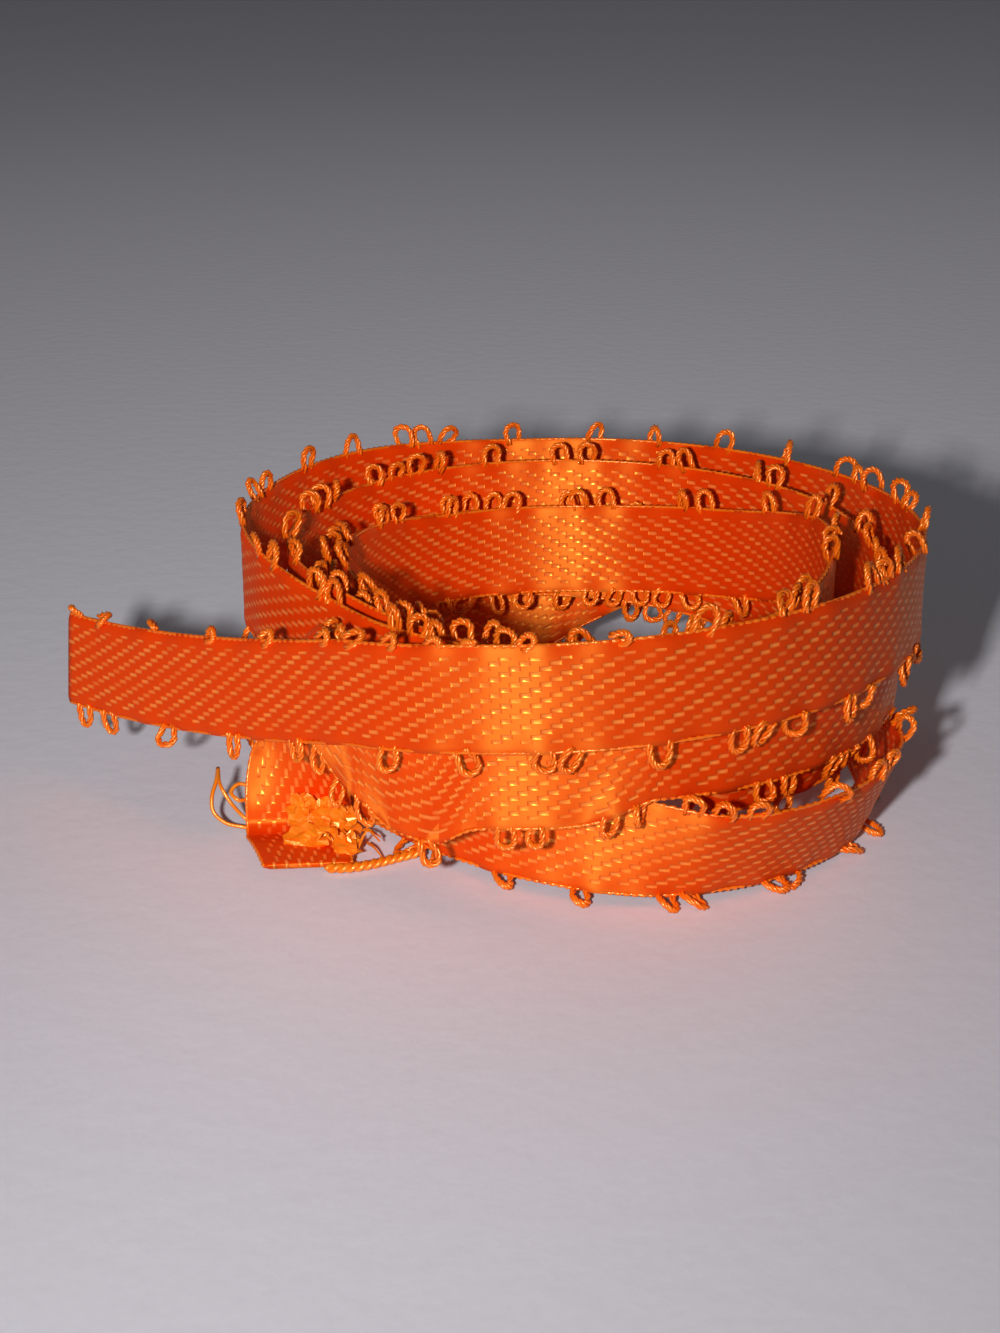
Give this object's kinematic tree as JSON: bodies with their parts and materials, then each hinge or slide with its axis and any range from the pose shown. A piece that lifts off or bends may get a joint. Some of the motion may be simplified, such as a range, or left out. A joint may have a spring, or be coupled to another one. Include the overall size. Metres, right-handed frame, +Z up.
{
  "type": "feather-edge satin ribbon trim",
  "caption": "Narrow orange satin ribbon with small loops along both edges, doubled and wound into a loose open coil.",
  "frame": {"origin": "middle of the part's box in plan, at the floor it rests on", "axes": "+X towards the right-hand side of the coil, away from the loose end; +Y to the back; +Z up, along the coil's axis"},
  "size_m": [0.0602, 0.0476, 0.0214],
  "materials": {
    "satin": "satin"
  },
  "bodies": {
    "root": {"ribbon": "satin"}
  },
  "joints": []
}
